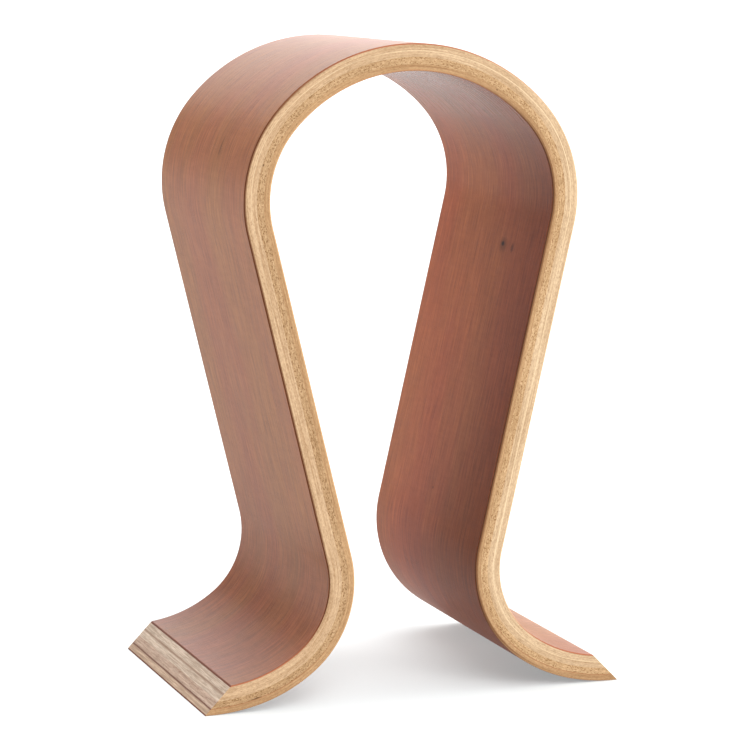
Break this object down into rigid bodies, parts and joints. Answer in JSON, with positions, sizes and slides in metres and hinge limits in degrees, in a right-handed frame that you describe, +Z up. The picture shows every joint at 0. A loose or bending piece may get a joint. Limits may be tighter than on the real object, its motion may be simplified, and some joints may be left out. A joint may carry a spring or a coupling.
{
  "type": "headphone stand",
  "caption": "Headphone stand bent from one strip of moulded plywood: a rounded arch for the headband on two legs that lean in and turn outward into mitred feet.",
  "frame": {"origin": "on the table, under the middle of the stand: the bottom centre of its box", "axes": "+Z up, X across the two legs, Y along the width of the strip; the viewer of the front edge looks along +Y"},
  "size_m": [0.1948, 0.137, 0.29],
  "materials": {
    "face_veneer": "reddish-brown straight-grained face veneer, satin lacquer",
    "pale_core_ply": "pale cream plywood core, sanded and lacquered edges",
    "tan_core_ply": "tan plywood core with open end grain, sanded and lacquered edges"
  },
  "bodies": {
    "root": {"outer_face_veneer": "face_veneer", "core_ply_1": "pale_core_ply", "core_ply_2": "pale_core_ply", "core_ply_3": "pale_core_ply", "core_ply_4": "pale_core_ply", "core_ply_5": "tan_core_ply", "core_ply_6": "tan_core_ply", "core_ply_7": "tan_core_ply", "core_ply_8": "tan_core_ply", "inner_face_veneer": "face_veneer"}
  },
  "joints": []
}
